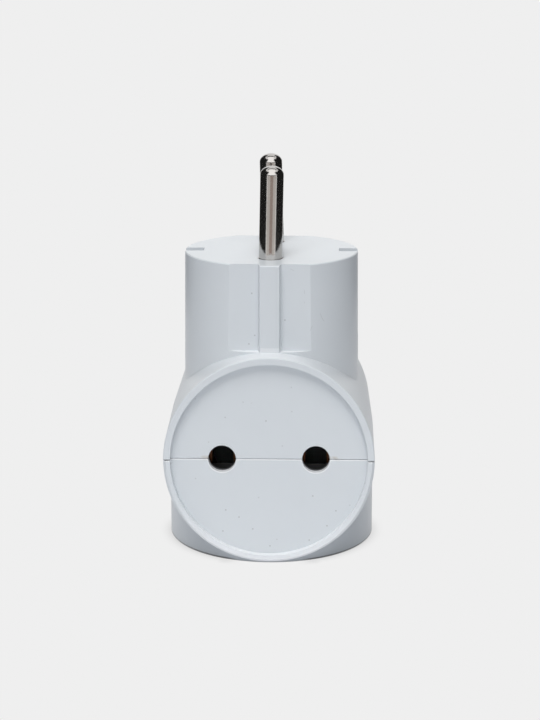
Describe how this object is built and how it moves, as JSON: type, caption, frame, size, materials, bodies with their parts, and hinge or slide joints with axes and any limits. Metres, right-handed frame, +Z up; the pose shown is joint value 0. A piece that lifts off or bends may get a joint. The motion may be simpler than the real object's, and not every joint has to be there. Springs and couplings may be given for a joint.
{
  "type": "multi socket adapter",
  "caption": "Unearthed plug-in adapter: a round two-pin plug on a round drum with two-hole sockets at its front, rear and underside.",
  "frame": {"origin": "centre of the round base on the surface that the adapter stands on", "axes": "+Z up along the plug pins, -Y out of the front socket, +X to the right seen from the front"},
  "size_m": [0.0432, 0.0454, 0.0801],
  "materials": {
    "housing_plastic": "fine satin moulded plastic, cool white",
    "pin_metal": "turned brass, nickel plated",
    "contact_brass": "stamped strip, as rolled",
    "spring_steel": "hardened spring strip",
    "screw_steel": "zinc plated"
  },
  "bodies": {
    "root": {"assembly_screw": "screw_steel", "busbar_left": "contact_brass", "busbar_right": "contact_brass", "contact_bottom_left": "contact_brass", "contact_bottom_right": "contact_brass", "contact_front_left": "contact_brass", "contact_front_right": "contact_brass", "contact_rear_left": "contact_brass", "contact_rear_right": "contact_brass", "contact_rivets": "contact_brass", "contact_spring_bottom_left": "spring_steel", "contact_spring_bottom_right": "spring_steel", "contact_spring_front_left": "spring_steel", "contact_spring_front_right": "spring_steel", "contact_spring_rear_left": "spring_steel", "contact_spring_rear_right": "spring_steel", "lower_housing": "housing_plastic", "plug_pin_front": "pin_metal", "plug_pin_rear": "pin_metal", "upper_housing": "housing_plastic"}
  },
  "joints": []
}
